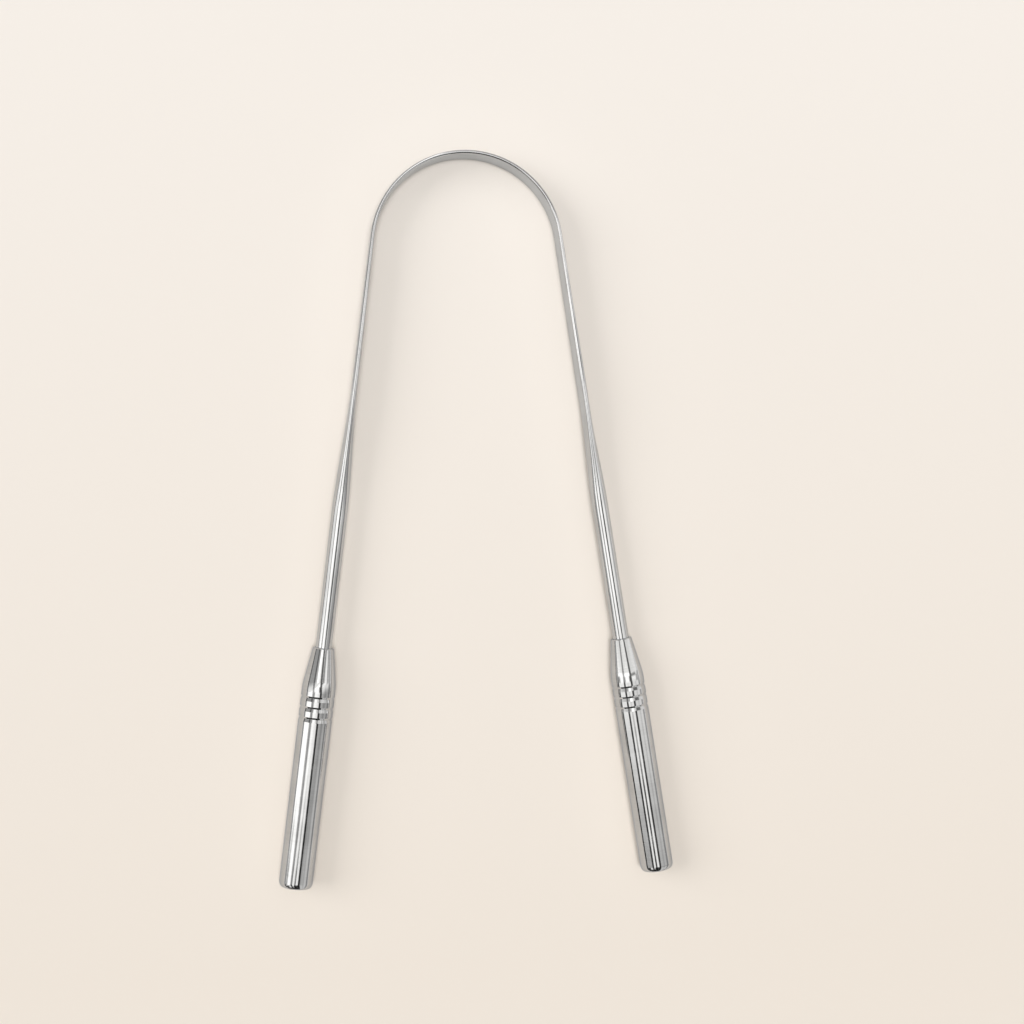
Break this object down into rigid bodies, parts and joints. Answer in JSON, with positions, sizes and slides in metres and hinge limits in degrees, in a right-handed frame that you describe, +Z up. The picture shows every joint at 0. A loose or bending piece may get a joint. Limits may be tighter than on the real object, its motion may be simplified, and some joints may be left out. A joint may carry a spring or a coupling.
{
  "type": "tongue scraper",
  "caption": "U-shaped scraper of flattened polished steel wire whose splayed round arms end in turned handles with tapered noses and ring grooves; cleans the tongue.",
  "frame": {"origin": "on the ground, under the middle of the scraper's box, with the scraper lying flat on its handles", "axes": "+X to the right arm, +Y along the length towards the bend, +Z up, square to the plane of the bow"},
  "size_m": [0.08, 0.146, 0.0067],
  "materials": {
    "polished_wire": "mirror-polished stainless steel with faint drawing lines",
    "polished_handle": "mirror-polished stainless steel with faint turning lines",
    "turned_plug": "fine-turned stainless steel"
  },
  "bodies": {
    "root": {"scraper_bow": "polished_wire", "handle_right": "polished_handle", "handle_left": "polished_handle", "end_plug_right": "turned_plug", "end_plug_left": "turned_plug"}
  },
  "joints": []
}
